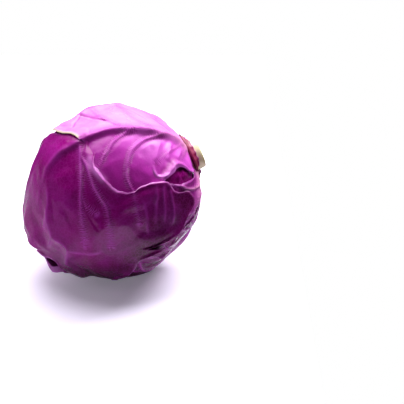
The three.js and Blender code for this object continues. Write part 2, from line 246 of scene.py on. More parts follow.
# Each blade is drawn about a centre. Reaches run round it in equal steps from the crown side through rising
# azimuth, in degrees of arc, and lifts say how far the margin stands up there, in millimetres. Margins give
# stretches of the outline place by place, with the lift at each.
BLADES = (
    {
        "leaf": "inner_leaf", "rib": 118, "rib_end": 60, "centre": (118, 66), "cells": 90,
        "margins": (
            ((77.4, 56, 1), (80.9, 50.6, 1.2), (84.4, 46.6, 1.5), (86.8, 40.9, 1.5), (91.3, 34.3, 1),
             (97.9, 26.6, 0)),
        ),
        "reach": (58, 54, 48, 46, 46, 50, 53, 42, 38, 39, 46, 54),
        "lift": (0, 0, 0, 0, 0, 0, 0, 1, 1.5, 1, 0, 0),
    },
    {
        "leaf": "back_leaf", "rib": 232, "rib_end": 140, "centre": (232, 84), "cells": 130,
        "reach": (84, 74, 58, 50, 50, 54, 70, 54, 60, 74, 72, 76),
        "lift": (1, 1, 0.5, 0.5, 0.5, 0, 0, 0, 0, 0, 0, 0.5),
    },
    {
        "leaf": "under_leaf", "rib": 172, "rib_end": 140, "centre": (172, 88), "cells": 140, "lip": 11 * MM,
        "margins": (
            ((165, 166, 0), (152, 166, 0), (146, 163, 3), (146.5, 158, 8), (147.5, 154, 10),
             (148, 151.5, 5), (148, 149, 0), (146, 145, 0)),
        ),
        "reach": (69, 62, 56, 52, 52, 58, 74, 58, 58, 68, 66, 64),
        "lift": (3, 2, 1, 1.5, 1, 0, 0, 0, 0, 0, 0, 2),
    },
    {
        "leaf": "rear_leaf", "rib": 294, "rib_end": 140, "centre": (294, 80), "cells": 130,
        "reach": (84, 80, 68, 54, 48, 50, 66, 54, 50, 48, 54, 72),
        "lift": (1, 0.5, 0, 0, 0, 0, 0, 0.5, 1, 1.5, 1.5, 1),
    },
    {
        "leaf": "wrapper_leaf", "rib_end": 142, "centre": (92, 120), "cells": 156, "notched": True,
        "margins": (
            ((26.6, 92, -2.6), (31.4, 91, -2.6), (34.5, 91.8, -2), (37.8, 93.8, -1), (41.2, 95.4, 0.9),
             (45.2, 96, 2.9), (48.2, 94.9, 3.9), (53.4, 94, 3.4), (57.7, 92.7, 2.8), (61.9, 91.4, 2.4),
             (65, 89.6, 2), (66.8, 87.2, 1.4), (68.9, 84.8, 1), (69.4, 82, 0.7), (69.9, 79.9, 0.8),
             (69, 77.5, 1.1), (68.7, 75.3, 1.5), (69.3, 72, 1.6), (69.4, 69, 1.6), (70.8, 65.2, 1.5),
             (72.5, 61.2, 1.2), (74.7, 58, 0.8), (76.7, 57.2, 0.8), (79.9, 56, 0.8), (84, 55.1, 0.8),
             (87.3, 52.6, 0.8), (89.7, 49.2, 0.8), (92.3, 45.4, 0.8)),
            ((110, 50.6, 1), (112.9, 55.4, 1.5), (114.7, 59.3, 2), (115, 64, 2.2), (114.4, 67.9, 1.8),
             (113.5, 72.5, 2.2), (112.2, 76.4, 1.6), (111.3, 80.7, 2), (110, 84.6, 1.6),
             (109.6, 89.2, 1.4)),
            ((160, 112, 0.6), (162, 124, 0.6), (162, 133, 0.6), (160, 140, 0.6), (154, 145.5, 0.6),
             (147, 149.5, 0.6), (142, 153, 0.6), (140.5, 158, 0.4), (142, 163, 0.2), (148, 167.5, 0)),
            ((345, 115, 0), (352, 112.5, 0), (2.2, 107.4, 0), (9, 102.4, 0), (14, 98.3, -0.4),
             (19, 95, -1.2), (24, 93, -2.4)),
        ),
        "reach": (62, 47, 42, 44, 50, 49, 46, 41, 36, 36, 55, 78, 76, 66, 51, 41, 45, 58, 82, 92, 90,
                  85, 80, 74),
        "lift": (1, 0.5, 0.5, 0.5, 0.5, 0.5, 1, 1, 1.5, 2, 2, 1.5, 1.5, 2, 2.5, 2.5, 2.5, 1, 0, 0, 1,
                 1.5, 1.5, 1),
    },
    {
        "leaf": "wrapper_leaf", "rib_end": 142, "centre": (24, 55), "cells": 150,
        "margins": (
            ((79, 70, 0), (76, 66, 0), (73.5, 62.5, 1), (72.3, 58.3, 3), (71.8, 53.9, 4),
             (71.2, 48.8, 4), (69.5, 46, 3.5), (69.6, 42, 3), (71.5, 38, 2.2), (75.5, 34, 1.4),
             (82, 30.5, 0.7), (88, 27, 0.2), (91, 22, 0)),
            ((25, 97, 0), (19.2, 98.6, 0.5), (14.9, 100.5, 0.6), (9.7, 103.9, 0.8), (1, 107.8, 1.2),
             (354.2, 109.4, 1.4), (352, 105, 1.4), (350.5, 100, 1.2), (348.5, 95, 1), (345, 90, 1),
             (340, 86, 1), (334, 82.5, 1), (328, 79, 1), (323.5, 74, 1), (321, 68, 1)),
        ),
        "reach": (41, 42, 47, 53, 56, 54, 44, 38, 37, 40, 47, 44, 42, 41, 42, 44, 48, 53, 58, 62, 64,
                  63, 57, 45),
        "lift": (0, 0, 0, 0, 0, 0, 2, 4, 3.5, 2.5, 1, 0, 0, 0, 0, 1, 1, 1, 1, 1, 1.5, 2.5, 2.5, 1),
    },
)

# The wrapper leaf's torn edge, and a painted highlight beside it where its two parts join
TEAR = ((22, 97.6), (19.2, 98.6), (14.9, 100.5), (9.7, 103.9), (1, 107.8), (354.2, 109.4))
TORN_WIDTH = 1.5 * MM
JOIN_HIGHLIGHT = ((30, 98.5), (35, 98.5), (40, 99.5))
JOIN_HIGHLIGHT_WIDTH = 7 * MM
JOIN_HIGHLIGHT_SHARE = 0.25

# Painted highlights on the backs of rolled edges: half width in millimetres, and places along the roll
ROLL_HIGHLIGHTS = (
    (2.6, ((39, 97), (42, 97.8), (46, 97.8), (50, 96.4), (55, 94.6))),
    (1.5, ((63.9, 62.5), (67.4, 62), (69.4, 59.8), (70, 56.6), (69.8, 51.9), (69.2, 48.4))),
)
ROLL_HIGHLIGHT = 0.75

# The under leaf's crumpled corner beside the wrapper leaf, with painted shade in its dents and a painted
# highlight on its ridges
BUNCHED = ((116, 90), (120, 82), (126, 74), (127, 64))
BUNCHED_WIDTH = 13 * MM
BUNCHED_RISE = 1.8 * MM
BUNCHED_DENTS = (0.45, 0.8)
BUNCHED_RIDGES = (0.8, 1)

# Painted shade: patches of the leaves darkened toward the shaded tissue colour, by half width in millimetres
# and places along their middle
PAINTED_SHADE = {
    "wrapper_leaf": (22, ((98, 52), (101, 64), (106, 80), (114, 96), (125, 110), (132, 124), (136, 140))),
    "under_leaf": (16, ((120, 40), (127, 46), (132, 56), (134, 66), (133, 78), (126, 88))),
}
# How far the painted shade takes the pale margin away
PAINTED_SHADE_ON_EDGE = 0.7

# How tissue pales toward the stem and the midrib, and painted light: on the wrapper leaf's lit upper part by
# the stem and behind its midrib, with a painted highlight by the stem and a painted sheen; shares, leans, and
# distances from the midrib
FOOT_LEANS = (18, 62)
PALE_SHARE = 0.3
PALE_LEANS = (30, 80)
WRAPPER_PALE_LEANS = (50, 88)
WRAPPER_PALE_LOSS = 0.55
WRAPPER_PALE_ASIDE = (14 * MM, 46 * MM)
WRAPPER_ASIDE_LOSS = 0.45
FAR_ASIDE = (-1 * MM, 9 * MM)
STEM_HIGHLIGHT_SHARE = 0.35
STEM_HIGHLIGHT_LEANS = (36, 68)
SHEEN_SHARE = 0.55
SHEEN_LEAN = 56
SHEEN_SPREAD = 15
SHEEN_ASIDE = (18 * MM, 40 * MM)

# The pale margin, which widens and comes to show as it lifts as a painted highlight on the lifted lip, and
# the painted shade under a lifted one
EDGE_LIFT = 2.2 * MM
EDGE_SHOWS = (-0.5 * MM, 0.5 * MM)
BARED_LEANS = (34, 52)
BARED_LEAST = 0.25
SHADE_DEPTH = 7 * MM
SHADE_WIDTH = 3.5 * MM
SHADE_LIFTS = (1.6 * MM, 3.2 * MM)
# Share of the painted highlight along fold crests on leaves other than the wrapper leaf
LOW_CREST_HIGHLIGHT = 0.4

# Leaf stubs by the azimuth of their middle and the angle that they span, and their profile
STUBS = {"leaf_stub_1": (55, 110), "leaf_stub_2": (185, 90), "leaf_stub_3": (300, 70)}
STUB_FOOT = 76 * MM
STUB_HEIGHT = 4.2 * MM
STUB_RAGGED = 1.0 * MM
STUB_GAP = 3 * MM
STUB_FLARE = 4 * MM
STUB_WAVE = 0.4 * MM
STUB_WALL = 2.6 * MM
STUB_TEETH = 6
STUB_CUT = (0.86, 1)

# The camera's angle, its target beside and below the head's middle, its lens, and the floor's size and glow
CAMERA_ELEVATION = 24
CAMERA_ASIDE = 79.6 * MM
CAMERA_DROP = 9.9 * MM
CAMERA_LENS = 99
CAMERA_SENSOR = 36
FLOOR_HALF_SIZE = (0.6, 0.47)
FLOOR_MIDDLE = (-0.43, 0.21)
FLOOR_GLOW = 0.19
FLOOR_WHITENS = (0.28, 0.6)


def direction(azimuth, lean):
    """The way from the head's middle to a place on it."""
    turn, tip = np.radians(azimuth), np.radians(lean)
    return np.stack([np.sin(tip) * np.cos(turn), np.sin(tip) * np.sin(turn), np.cos(tip) + 0 * turn], axis=-1)


def smooth(values, low, high):
    """A soft step from 0 at low to 1 at high."""
    share = np.clip((values - low) / (high - low), 0, 1)
    return share * share * (3 - 2 * share)


def bell(distance, width):
    """A rounded ridge, 1 at no distance."""
    return np.exp(-((distance / width) ** 2))


def curve_through(a, b, c, d, share):
    """A smooth curve from b to c at a share of the way, led by its neighbours."""
    bend = 2 * a - 5 * b + 4 * c - d + share * (3 * (b - c) + d - a)
    return b + 0.5 * share * (c - a + share * bend)


def round_turn(values, bearing):
    """A smooth closed curve through values given at equal steps round a turn."""
    values = np.asarray(values, float)
    place = np.mod(bearing, 360) / 360 * len(values)
    first = np.floor(place).astype(int)
    corners = [values[(first + step) % len(values)] for step in (-1, 0, 1, 2)]
    return curve_through(*corners, place - first)


def lean_of(ways):
    """Degrees from the stem end."""
    return np.degrees(np.arccos(np.clip(ways[:, 2], -1, 1)))


def off_rib(ways, rib):
    """Degrees round the stem from a rib, between -180 and 180."""
    return np.mod(np.degrees(np.arctan2(ways[:, 1], ways[:, 0])) - rib + 180, 360) - 180


def line_through(places, steps=6):
    """Places along a smooth line through a few places on the head."""
    places = np.array(places, float)
    places[:, 0] = np.degrees(np.unwrap(np.radians(places[:, 0])))
    ends = np.vstack([2 * places[0] - places[1], places, 2 * places[-1] - places[-2]])
    shares = np.arange(steps)[:, None] / steps
    curve = [curve_through(*ends[i:i + 4], shares) for i in range(len(places) - 1)]
    return np.vstack([*curve, places[-1:]])


def path_over(places):
    """Directions along a smooth line through places on the head."""
    return direction(*line_through(places).T)


def nearest_on(path, ways):
    """Distance of each direction from a path on the head, and the length and share of it passed by there."""
    steps = np.diff(path, axis=0)
    lengths = np.linalg.norm(steps, axis=1)
    passed = np.concatenate([[0], np.cumsum(lengths)])
    apart = np.full(len(ways), np.inf)
    along = np.zeros(len(ways))
    for start, step, length, before in zip(path, steps, lengths, passed):
        share = np.clip((ways - start) @ step / length**2, 0, 1)
        distance = np.linalg.norm(ways - start - share[:, None] * step, axis=1)
        closer = distance < apart
        apart = np.where(closer, distance, apart)
        along = np.where(closer, before + share * length, along)
    return apart * HEART_RADIUS, along * HEART_RADIUS, along / passed[-1]


def near_path(places, width, ways):
    """A soft band along a path through places on the head, 1 on the path."""
    return bell(nearest_on(path_over(places), ways)[0], width)


def fading(share, part):
    """1 along a path, falling to 0 over a part of its length at each end."""
    return smooth(share, 0, part) * (1 - smooth(share, 1 - part, 1))


def ridge_paths(rows):
    """Rise, half width and path of ridges or folds that are given in millimetres and places."""
    return [(rise * MM, width * MM, path_over(places)) for rise, width, places in rows]


def rough(ways, fineness, seed):
    """Smooth noise over the head, between about -1 and 1."""
    shift = Vector((seed, 2 * seed, 3 * seed))
    return np.array([noise.noise(Vector(way) * fineness + shift) for way in ways])


def cell_edges(ways, fineness, seed):
    """How near each direction is to the edge between two cells of a rough honeycomb, 1 on the edge."""
    shift = Vector((seed, 2 * seed, 3 * seed))
    near = [noise.voronoi(Vector(way) * fineness + shift)[0] for way in ways]
    return 1 - np.clip(np.array([found[1] - found[0] for found in near]), 0, 1)


def soft_minimum(a, b):
    """The smaller of two lengths, with a rounded change from one to the other."""
    share = np.clip(0.5 + (b - a) / (2 * FLAT_EDGE), 0, 1)
    return b + (a - b) * share - FLAT_EDGE * share * (1 - share)


def laid_down(points):
    """Turns points of the upright head to where it lies."""
    stem = direction(STEM_TURN, 90 - STEM_TILT)
    upper = direction(STEM_TURN + 180, STEM_TILT)
    axes = np.stack([upper, np.cross(stem, upper), stem])
    return points @ axes + np.array([0, 0, REST_HEIGHT])


def side_vein(rib, start, side):
    """Places along a vein that leaves a rib and bends round the head."""
    off = np.linspace(0, VEIN_REACH, VEIN_POINTS)
    lean = start + VEIN_SWEEP * (1 - np.exp(-off / VEIN_BEND)) + VEIN_SLANT * off
    lean = lean + VEIN_WAVER * np.sin(np.radians(off * VEIN_WAVES + start * VEIN_PHASE))
    return list(zip(rib + side * off, lean))


def vein_fork(vein, rib):
    """Places along a fine branch that leaves a side vein for the crown."""
    places = [(azimuth, lean) for azimuth, lean in vein if abs(azimuth - rib) > FORK_START]
    root = places[0][0]
    return [(azimuth, lean + FORK_SPREAD * abs(azimuth - root)) for azimuth, lean in places]


class Blade:
    """One blade of a leaf: its outline round a centre on the head, the lift of its margin and its veins."""

    def __init__(
        self, leaf, rib_end, centre, cells, reach, lift, rib=None, margins=(), lip=LIP_WIDTH, notched=False
    ):
        self.leaf = leaf
        self.rib_end = rib_end
        self.cells = cells
        self.lip = lip
        azimuth, lean = centre
        self.middle = direction(azimuth, lean)
        self.crownward = direction(azimuth, lean + 90)
        self.rising = direction(azimuth + 90, 90)
        if leaf == "wrapper_leaf":
            self.rib = line_through(WRAPPER_RIB)
            self.rib_rise = WRAPPER_RIB_RISE
            veins = WRAPPER_VEINS
        else:
            self.rib = np.array([(rib, 0), (rib, 180)], float)
            self.rib_rise = None
            main = [side_vein(rib, start, 1) for start in VEINS_RISING]
            main += [side_vein(rib, start, -1) for start in VEINS_FALLING]
            veins = [(1, vein) for vein in main]
            veins += [(FORK_STRENGTH, vein_fork(vein, rib)) for vein in main]
        self.veins = [(strength, path_over(places)) for strength, places in veins]
        self.folds = ridge_paths(FOLDS.get(leaf, ()))
        self.turns = np.linspace(0, 360, OUTLINE_STEPS + 1)
        self.outline = round_turn(reach, self.turns)
        self.lift = round_turn(lift, self.turns) * MM
        for places in margins:
            self.trim(places)
        self.bearings = self.even_bearings() if notched else self.turns

    def trim(self, places):
        """Brings the outline and its lift to places along a stretch of the margin."""
        azimuth, lean, lift = np.array(places, float).T
        bearing, away = self.polar(direction(azimuth, lean))
        middle = bearing[len(bearing) // 2]
        bearing = np.mod(bearing - middle + 180, 360) - 180
        order = np.argsort(bearing)
        turns = np.mod(self.turns - middle + 180, 360) - 180
        low, high = bearing.min(), bearing.max()
        share = smooth(turns, low - TRIM_OUTSIDE, low + TRIM_INSIDE)
        share = share * (1 - smooth(turns, high - TRIM_INSIDE, high + TRIM_OUTSIDE))
        fine = np.interp(turns, bearing[order], away[order])
        self.outline = self.outline + (fine - self.outline) * share
        stand = np.interp(turns, bearing[order], lift[order]) * MM
        self.lift = self.lift + (stand - self.lift) * share

    def even_bearings(self):
        """Bearings that divide the outline into equal lengths, so that the grid follows a steep margin."""
        turns = np.radians(self.turns)
        outline = np.stack([self.outline * np.sin(turns), self.outline * np.cos(turns)], 1)
        passed = np.concatenate([[0], np.cumsum(np.linalg.norm(np.diff(outline, axis=0), axis=1))])
        return np.interp(self.turns / 360 * passed[-1], passed, self.turns)

    def directions(self, flat):
        """Directions of a flat square grid from -1 to 1, wrapped on the head inside the outline."""
        x, y = flat[:, 0], flat[:, 1]
        across = x * np.sqrt(1 - y * y / 2)
        along = y * np.sqrt(1 - x * x / 2)
        turn = np.mod(np.degrees(np.arctan2(across, -along)), 360)
        bearing = np.interp(turn, self.turns, self.bearings)
        away = np.radians(np.hypot(across, along) ** CROWDING * self.reach(bearing))[:, None]
        bearing = np.radians(bearing)[:, None]
        sideways = np.cos(bearing) * self.crownward + np.sin(bearing) * self.rising
        return np.cos(away) * self.middle + np.sin(away) * sideways

    def polar(self, ways):
        """Bearing and distance of directions from the blade's centre, in degrees."""
        bearing = np.degrees(np.arctan2(ways @ self.rising, ways @ self.crownward))
        return np.mod(bearing, 360), np.degrees(np.arccos(np.clip(ways @ self.middle, -1, 1)))

    def reach(self, bearing):
        """Distance of the margin from the centre at a bearing."""
        return np.interp(bearing, self.turns, self.outline)

    def past_margin(self, ways):
        """How far past the margin directions lie, negative on the blade."""
        bearing, away = self.polar(ways)
        return (away - self.reach(bearing)) * ARC

    def lift_by(self, ways):
        """How far the margin nearest to each direction stands up."""
        return np.interp(self.polar(ways)[0], self.turns, self.lift)

    def margin_lift(self, ways):
        """How far the blade stands up near its margin, rolled over at the edge, or sinks below others."""
        inside = np.maximum(0, -self.past_margin(ways))
        lift = self.lift_by(ways)
        roll = ROLL + ROLL_BY_LIFT * np.minimum(np.maximum(0, lift), LIP_WIDTH)
        rolled = bell(np.maximum(0, inside - roll), self.lip) - ROLL_OVER * bell(inside, roll)
        return lift * np.where(lift > 0, rolled, bell(inside, SINK_WIDTH))

    def aside(self, ways):
        """Distance from the midrib, negative behind it."""
        lean = lean_of(ways)
        rib = np.interp(lean, self.rib[:, 1], self.rib[:, 0])
        return off_rib(ways, rib) * np.sin(np.radians(lean)) * ARC


class Head:
    """The head's form and the order that its blades lie in."""

    def __init__(self, shape):
        self.shape = shape
        self.blades = [Blade(**values) for values in BLADES]
        self.facets = ridge_paths(FACET_EDGES)

    def form(self, ways):
        """Radius of the head under its loose leaves."""
        lean = lean_of(ways)
        radius = HEART_RADIUS + self.shape.fullness + CROWN_RISE * smooth(lean, CROWN_EDGE, 180)
        radius = radius - STEM_DIP * (1 - smooth(lean, DIP_FLOOR, DIP_EDGE))
        for azimuth, flat_lean, depth in FLATS:
            facing = np.maximum(ways @ direction(azimuth, flat_lean), LEAST_FACING)
            radius = soft_minimum(radius, (depth + self.shape.fullness) / facing)
        for rise, width, path in self.facets:
            apart, _, share = nearest_on(path, ways)
            radius = radius + rise * (1 - smooth(apart, 0, width)) * fading(share, FACET_FADE)
        broad = rough(ways, *DENTS) + DENT_CELL_SHARE * (cell_edges(ways, *DENT_CELLS) - CELL_MIDDLE)
        return radius + self.shape.crumple * broad * smooth(lean, *DENT_LEANS)

    def point(self, ways, height):
        """Points at a height over the form, kept above the surface that the head rests on."""
        points = ways * (self.form(ways) + height)[:, None]
        tilt = math.radians(STEM_TILT)
        down = np.array([-math.cos(tilt), 0, -math.sin(tilt)])
        below = np.maximum(0, points @ down - REST_HEIGHT)
        return points - below[:, None] * down

    def exposed(self, blade, ways):
        """Share of the ribs that stands up, where no later leaf presses on them."""
        share = np.ones(len(ways))
        for other in self.blades[self.blades.index(blade) + 1:]:
            if other.leaf != blade.leaf:
                share = share * smooth(other.past_margin(ways), -PRESS, PRESS)
        return share

    def venation(self, blade, ways):
        """Height of the relief, a mask of its ribs and veins, and the way along and to the nearest vein."""
        lean = lean_of(ways)
        aside = blade.aside(ways)
        rib_width = RIB_HALF_WIDTH + RIB_FOOT_WIDTH * np.exp((RIB_START - lean) / RIB_FOOT_LENGTH)
        thinning = RIB_THIN_SHARE + (1 - RIB_THIN_SHARE) * np.exp((RIB_START - lean) / RIB_THIN_LENGTH)
        fade = 1 - smooth(lean, blade.rib_end - RIB_FADE, blade.rib_end)
        rise_width = np.where(aside < 0, blade.rib_rise or rib_width, rib_width)
        stands = RIB_LOW_SHARE + (1 - RIB_LOW_SHARE) * smooth(lean, *RIB_RISING)
        height = self.shape.rib_height * thinning * fade * stands * bell(aside, rise_width)
        mask = bell(aside, rib_width) * fade * thinning
        away = np.full(len(ways), np.inf)
        along = np.zeros(len(ways))
        for strength, vein in blade.veins:
            apart, passed, share = nearest_on(vein, ways)
            taper = strength * (1 - VEIN_THINNING * smooth(share, *VEIN_THINS))
            width = VEIN_HALF_WIDTH * (VEIN_LEAST_WIDTH + (1 - VEIN_LEAST_WIDTH) * taper)
            taper = taper * smooth(share, *VEIN_ROOT)
            ridge = bell(apart, width) * taper * (1 - smooth(share, *VEIN_TIP))
            valley = bell(apart - VALLEY_PLACE * width, VALLEY_WIDTH * width)
            valley = valley * taper * (1 - smooth(share, *VALLEY_TIP))
            height = height + self.shape.vein_height * (ridge - VALLEY_DEPTH * valley)
            mask = np.maximum(mask, ridge)
            along = np.where(apart < away, passed, along)
            away = np.minimum(apart, away)
        share = self.exposed(blade, ways)
        height = (height + self.folding(blade.folds, ways)[0] + blade.margin_lift(ways)) * share
        return height, mask * (VEIN_PRESSED + (1 - VEIN_PRESSED) * share), along, away

    @staticmethod
    def folding(folds, ways):
        """Height of folds pressed into a leaf, and masks of painted shade in the creases and a painted
        highlight on the sharp crests among them.
        """
        height = np.zeros(len(ways))
        crease_shade = np.zeros(len(ways))
        crest_highlight = np.zeros(len(ways))
        for rise, width, fold in folds:
            apart, _, share = nearest_on(fold, ways)
            ends = fading(share, FOLD_FADE)
            height = height + rise * np.maximum(0, 1 - apart / width) ** FOLD_SHARPNESS * ends
            line = bell(apart, FOLD_LINE * width) * ends
            if rise < 0:
                crease_shade = np.maximum(crease_shade, line)
            else:
                crest_highlight = np.maximum(crest_highlight, line)
        return height, crease_shade, crest_highlight

    def cover(self, blade, ways):
        """Share of a blade's thickness felt by one over it."""
        return 1 - smooth(blade.past_margin(ways), SHOULDER, SHOULDER + DRAPE)

    def height_under(self, blade, ways):
        """Height of what lies between the form and a blade."""
        order = self.blades.index(blade)
        thickness = GAP + self.shape.blade
        height = np.zeros(len(ways))
        for i, other in enumerate(self.blades):
            if other is blade:
                continue
            if other.leaf == blade.leaf:
                front = smooth(blade.aside(ways), -SWAP_WIDTH, SWAP_WIDTH)
                height = height + self.cover(other, ways) * thickness * (1 - front if i < order else front)
            elif i < order:
                height = height + self.cover(other, ways) * (thickness + self.venation(other, ways)[0])
        return height

    def bunching(self, blade, ways):
        """Height of the crumpled corner, and masks of painted shade in its dents and a painted highlight on
        its ridges.
        """
        bunched = near_path(BUNCHED, BUNCHED_WIDTH, ways) * self.exposed(blade, ways)
        ridges = cell_edges(ways, *BUNCHED_CELLS)
        height = BUNCHED_RISE * bunched * (ridges - CELL_MIDDLE)
        dents = bunched * (1 - smooth(ridges, *BUNCHED_DENTS))
        return height, dents, bunched * smooth(ridges, *BUNCHED_RIDGES)

    def wrapper_tissue(self, blade, ways, lean):
        """Masks of painted light on the wrapper leaf's lit upper part, with a painted highlight where its two
        parts join, of painted light behind the midrib with painted highlights by the stem, and of its torn
        edge.
        """
        stem_part = self.blades[-1]
        near_stem = self.cover(stem_part, ways) if blade is stem_part else np.zeros(len(ways))
        aside = blade.aside(ways)
        # Painted light on the wrapper leaf's lit upper part by the stem, fading toward the crown and away
        # from the midrib
        pale = near_stem * (1 - WRAPPER_PALE_LOSS * smooth(lean, *WRAPPER_PALE_LEANS))
        pale = pale * (1 - WRAPPER_ASIDE_LOSS * smooth(aside, *WRAPPER_PALE_ASIDE))
        # Painted highlight where the wrapper leaf's two parts join
        join_highlight = JOIN_HIGHLIGHT_SHARE * near_path(JOIN_HIGHLIGHT, JOIN_HIGHLIGHT_WIDTH, ways) * (1 - near_stem)
        # Painted highlight by the stem and a painted sheen, joined to the painted light behind the midrib
        stem_highlight = STEM_HIGHLIGHT_SHARE * (1 - smooth(lean, *STEM_HIGHLIGHT_LEANS))
        sheen = SHEEN_SHARE * bell(lean - SHEEN_LEAN, SHEEN_SPREAD) * (1 - smooth(aside, *SHEEN_ASIDE))
        painted_light = near_stem * np.maximum(smooth(-aside, *FAR_ASIDE), np.maximum(stem_highlight, sheen))
        return pale + join_highlight, painted_light, near_stem * near_path(TEAR, TORN_WIDTH, ways)

    def edging(self, blade, ways, lean, painted_shade):
        """Masks of the pale margin, widened into a painted highlight where it lifts and along rolled edges,
        and of the painted shade under a lifted one.
        """
        inside = np.maximum(0, -blade.past_margin(ways))
        lift = blade.lift_by(ways)
        margin = bell(inside, self.shape.edge_width * (1 + (np.maximum(0, lift) / EDGE_LIFT) ** 2))
        bared = BARED_LEAST + (1 - BARED_LEAST) * smooth(lean, *BARED_LEANS)
        uneven = EDGE_MEAN + EDGE_SWING * rough(ways, *UNEVEN_EDGE)
        edge = margin * smooth(lift, *EDGE_SHOWS) * uneven * bared * (1 - PAINTED_SHADE_ON_EDGE * painted_shade)
        # Painted highlights along rolled edges
        for width, places in ROLL_HIGHLIGHTS:
            edge = np.maximum(edge, ROLL_HIGHLIGHT * near_path(places, width * MM, ways))
        return edge, bell(inside - SHADE_DEPTH, SHADE_WIDTH) * smooth(lift, *SHADE_LIFTS)

    def surface(self, blade, ways):
        """Outer points of a blade and the masks that its finish reads."""
        raised, vein, along, away = self.venation(blade, ways)
        _, crease_shade, crest_highlight = self.folding(blade.folds, ways)
        blister = rough(ways, *BLISTERS) * smooth(away, *BLISTER_AWAY) * self.shape.blister
        height = self.height_under(blade, ways) + GAP + self.shape.blade + raised + blister
        if blade.leaf == "under_leaf":
            bunched, dents, ridges = self.bunching(blade, ways)
            height = height + bunched
            # Painted shade in the dents of the crumpled corner
            crease_shade = np.maximum(crease_shade, dents)
            # Painted highlight on the ridges of the crumpled corner
            crest_highlight = np.maximum(crest_highlight, ridges)
        lean = lean_of(ways)
        # Painted shade on patches of the leaves
        painted_shade = np.zeros(len(ways))
        if blade.leaf in PAINTED_SHADE:
            width, places = PAINTED_SHADE[blade.leaf]
            painted_shade = near_path(places, width * MM, ways)
        # Paler tissue toward the stem on leaves other than the wrapper leaf
        pale = PALE_SHARE * (1 - smooth(lean, *PALE_LEANS))
        painted_light = np.zeros(len(ways))
        torn = np.zeros(len(ways))
        if blade.leaf == "wrapper_leaf":
            pale, painted_light, torn = self.wrapper_tissue(blade, ways, lean)
        edge, shade = self.edging(blade, ways, lean, painted_shade)
        masks = {
            "vein": vein,
            "along": along,
            "away": away,
            "edge": edge,
            "foot": 1 - smooth(lean, *FOOT_LEANS),
            "pale": pale,
            # painted light and highlights on the wrapper leaf
            "painted_light": painted_light,
            "torn": torn,
            # painted shade in creases, dents and under lifted margins
            "crease_shade": np.maximum(crease_shade, shade),
            "painted_shade": painted_shade,
            # painted highlight along fold crests
            "crest_highlight": crest_highlight * (1 if blade.leaf == "wrapper_leaf" else LOW_CREST_HIGHLIGHT),
        }
        return self.point(ways, height), masks


def linked_object(name, bm):
    """Makes an object of a bmesh, with smooth faces, and links it to the scene."""
    mesh = bpy.data.meshes.new(name)
    bm.to_mesh(mesh)
    bm.free()
    mesh.shade_smooth()
    piece = bpy.data.objects.new(name, mesh)
    bpy.context.scene.collection.objects.link(piece)
    return piece


def lay_down(verts, points):
    """Moves vertices to points of the upright head, turned to where it lies."""
    for vert, point in zip(verts, laid_down(points)):
        vert.co = point


def set_masks(piece, masks):
    """Keeps a number for every vertex under each mask's name."""
    for name, values in masks.items():
        attribute = piece.data.attributes.new(name, "FLOAT", "POINT")
        attribute.data.foreach_set("value", np.asarray(values, np.float32))


def stand_for(piece, node, material):
    """Puts a finished piece in the place of a CAD node."""
    piece.data.materials.append(material)
    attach(piece, BODY)
    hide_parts(node)


def thicken(piece, thickness):
    """Gives a sheet its thickness, on the side that its faces turn away from."""
    wall = piece.modifiers.new("Thickness", "SOLIDIFY")
    wall.thickness = thickness
    wall.offset = -1


class Nodes:
    """Adds nodes to a node tree and links their sockets."""

    def __init__(self, tree):
        self.tree = tree
        tree.nodes.clear()

    def add(self, kind, feeds=None, **settings):
        """A node with its settings, its sockets fed by other sockets or by plain values."""
        node = self.tree.nodes.new(kind)
        for name, value in settings.items():
            setattr(node, name, value)
        for name, value in (feeds or {}).items():
            socket = node.inputs[name]
            if isinstance(value, bpy.types.NodeSocket):
                self.tree.links.new(value, socket)
            else:
                socket.default_value = value
        return node

    def math(self, operation, a, b=0.0, c=0.0):
        """Result of an operation on one to three numbers or sockets."""
        return self.add("ShaderNodeMath", {0: a, 1: b, 2: c}, operation=operation).outputs[0]

    def product(self, a, b):
        """Two numbers or sockets multiplied."""
        return self.math("MULTIPLY", a, b)

    def mix(self, share, a, b):
        """A colour between two others."""
        node = self.add("ShaderNodeMix", {0: share, 6: a, 7: b}, data_type="RGBA", clamp_factor=True)
        return node.outputs[2]

    def layered(self, colour, layers):
        """A colour with others laid over it, each by a mask and a share."""
        for mask, share, tint in layers:
            colour = self.mix(self.product(mask, share), colour, (*tint, 1))
        return colour

    def span(self, value, low, high, to_low, to_high):
        """A value carried softly from one range to another."""
        feeds = {"Value": value, "From Min": low, "From Max": high, "To Min": to_low, "To Max": to_high}
        return self.add("ShaderNodeMapRange", feeds, interpolation_type="SMOOTHSTEP").outputs["Result"]

    def mask(self, name):
        """A number kept for every vertex of the piece."""
        return self.add("ShaderNodeAttribute", attribute_name=name).outputs["Fac"]

    def noise(self, scale, detail=2.0, roughness=0.5):
        """Noise over the piece's own coordinates."""
        place = self.add("ShaderNodeTexCoord").outputs["Object"]
        feeds = {"Vector": place, "Scale": scale, "Detail": detail, "Roughness": roughness}
        return self.add("ShaderNodeTexNoise", feeds).outputs["Fac"]

    def bump(self, strength, distance, height):
        """A normal bent by a height."""
        feeds = {"Strength": strength, "Distance": distance, "Height": height}
        return self.add("ShaderNodeBump", feeds).outputs[0]

    def finish(self, feeds):
        """Ends a material in a Principled shader."""
        shader = self.add("ShaderNodeBsdfPrincipled", feeds)
        self.add("ShaderNodeOutputMaterial", {"Surface": shader.outputs[0]})


def group_tree(name, inputs, outputs):
    """An empty shader node group with number sockets."""
    tree = bpy.data.node_groups.new(name, "ShaderNodeTree")
    for socket, value in inputs.items():
        tree.interface.new_socket(socket, in_out="INPUT", socket_type="NodeSocketFloat").default_value = value
    for socket in outputs:
        tree.interface.new_socket(socket, in_out="OUTPUT", socket_type="NodeSocketFloat")
    return tree


